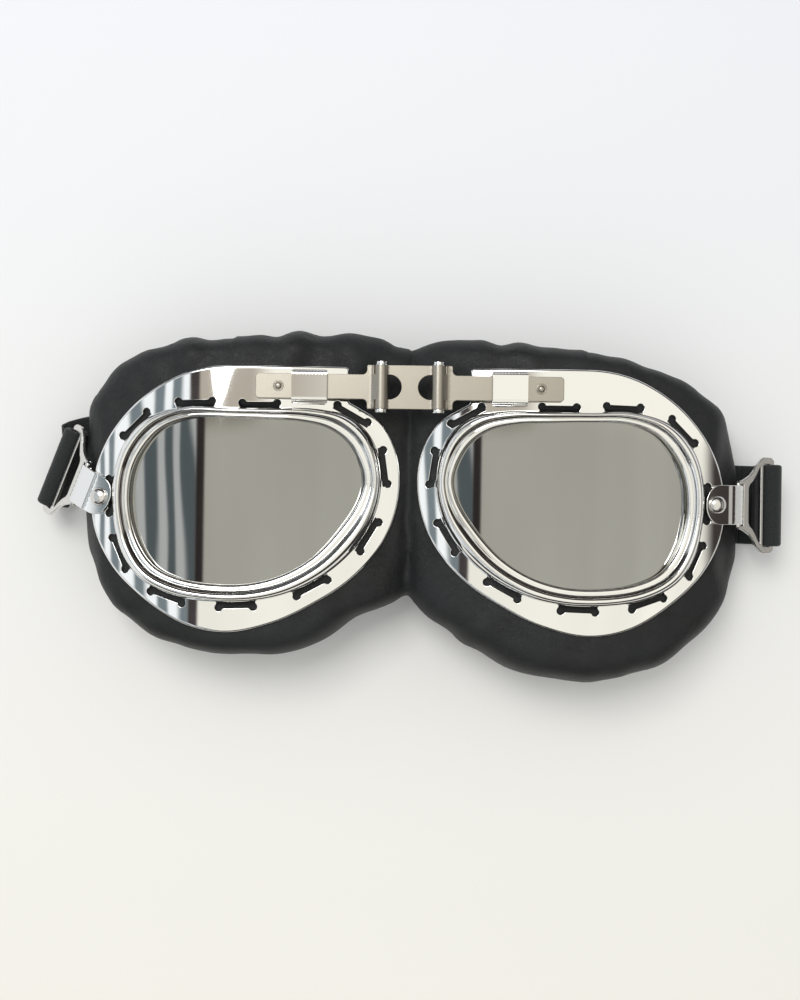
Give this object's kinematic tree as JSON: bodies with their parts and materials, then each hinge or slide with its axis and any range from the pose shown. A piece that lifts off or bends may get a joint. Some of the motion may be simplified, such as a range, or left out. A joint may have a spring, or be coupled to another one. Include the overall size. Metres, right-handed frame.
{
  "type": "aviator flying goggles",
  "caption": "Aviator goggles with curved metal lens frames hinged over the nose, mirrored lenses, a soft padded face mask and an elastic strap on swivelling loops.",
  "frame": {"origin": "on the table, under the middle of the box round the goggles as they lie on their back", "axes": "+X across the face to the right half in front view, +Y up to the brow, +Z out of the lenses"},
  "size_m": [0.2161, 0.0952, 0.0347],
  "materials": {
    "satin_nickel": "satin, warm grey",
    "chrome": "polished chrome plate",
    "mirror_lens": "silver mirror coating",
    "gasket": "matt black",
    "retainer": "satin black",
    "leather": "soft matt black leather",
    "elastic": "ribbed black elastic"
  },
  "bodies": {
    "bridge": {"bridge_link": "satin_nickel", "hinge_pin_left": "chrome", "hinge_pin_right": "chrome", "nose_pad": "leather", "strap_fold": "elastic", "strap_lead_left": "elastic", "strap_lead_right": "elastic"},
    "arm_left": {"bridge_arm_left": "satin_nickel"},
    "half_left": {"frame_plate_left": "chrome", "lens_rim_left": "chrome", "lens_left": "mirror_lens", "lens_gasket_left": "gasket", "lens_retainer_left": "retainer", "arm_clip_left": "chrome", "face_cushion_left": "leather", "tab_rivet_left": "chrome"},
    "tab_left": {"strap_tab_left": "chrome"},
    "loop_left": {"strap_loop_left": "chrome", "strap_end_left": "elastic"},
    "arm_right": {"bridge_arm_right": "satin_nickel"},
    "half_right": {"frame_plate_right": "chrome", "lens_rim_right": "chrome", "lens_right": "mirror_lens", "lens_gasket_right": "gasket", "lens_retainer_right": "retainer", "arm_clip_right": "chrome", "face_cushion_right": "leather", "tab_rivet_right": "chrome"},
    "tab_right": {"strap_tab_right": "chrome"},
    "loop_right": {"strap_loop_right": "chrome", "strap_end_right": "elastic"}
  },
  "joints": [
    {"name": "bridge_hinge_left", "type": "hinge", "parent": "bridge", "child": "arm_left", "pos_m": [-0.0078, 0.0308, 0.032], "axis": [0, -1, 0], "range_deg": [-4, 9], "deforming": ["nose_pad", "strap_lead_left", "strap_end_left"]},
    {"name": "arm_slide_left", "type": "slide", "parent": "arm_left", "child": "half_left", "axis": [-1, 0, 0], "range_m": [-0.001, 0.0016]},
    {"name": "tab_swivel_left", "type": "hinge", "parent": "half_left", "child": "tab_left", "pos_m": [-0.0856, 0, 0.0244], "axis": [-0.3146, 0, 0.9492], "range_deg": [-1, 49]},
    {"name": "loop_swing_left", "type": "hinge", "parent": "tab_left", "child": "loop_left", "pos_m": [-0.09264, 0.00356, 0.02022], "axis": [-0.3861, -0.9135, -0.128], "range_deg": [-30, 2]},
    {"name": "bridge_hinge_right", "type": "hinge", "parent": "bridge", "child": "arm_right", "pos_m": [0.0078, 0.0308, 0.032], "axis": [0, 1, 0], "range_deg": [-4, 9], "deforming": ["nose_pad", "strap_lead_right", "strap_end_right"]},
    {"name": "arm_slide_right", "type": "slide", "parent": "arm_right", "child": "half_right", "axis": [1, 0, 0], "range_m": [-0.001, 0.0016]},
    {"name": "tab_swivel_right", "type": "hinge", "parent": "half_right", "child": "tab_right", "pos_m": [0.0856, 0, 0.0244], "axis": [-0.3146, 0, -0.9492], "range_deg": [-25, 25]},
    {"name": "loop_swing_right", "type": "hinge", "parent": "tab_right", "child": "loop_right", "pos_m": [0.09336, 0, 0.01998], "axis": [0, 1, 0], "range_deg": [-25, 14]}
  ]
}
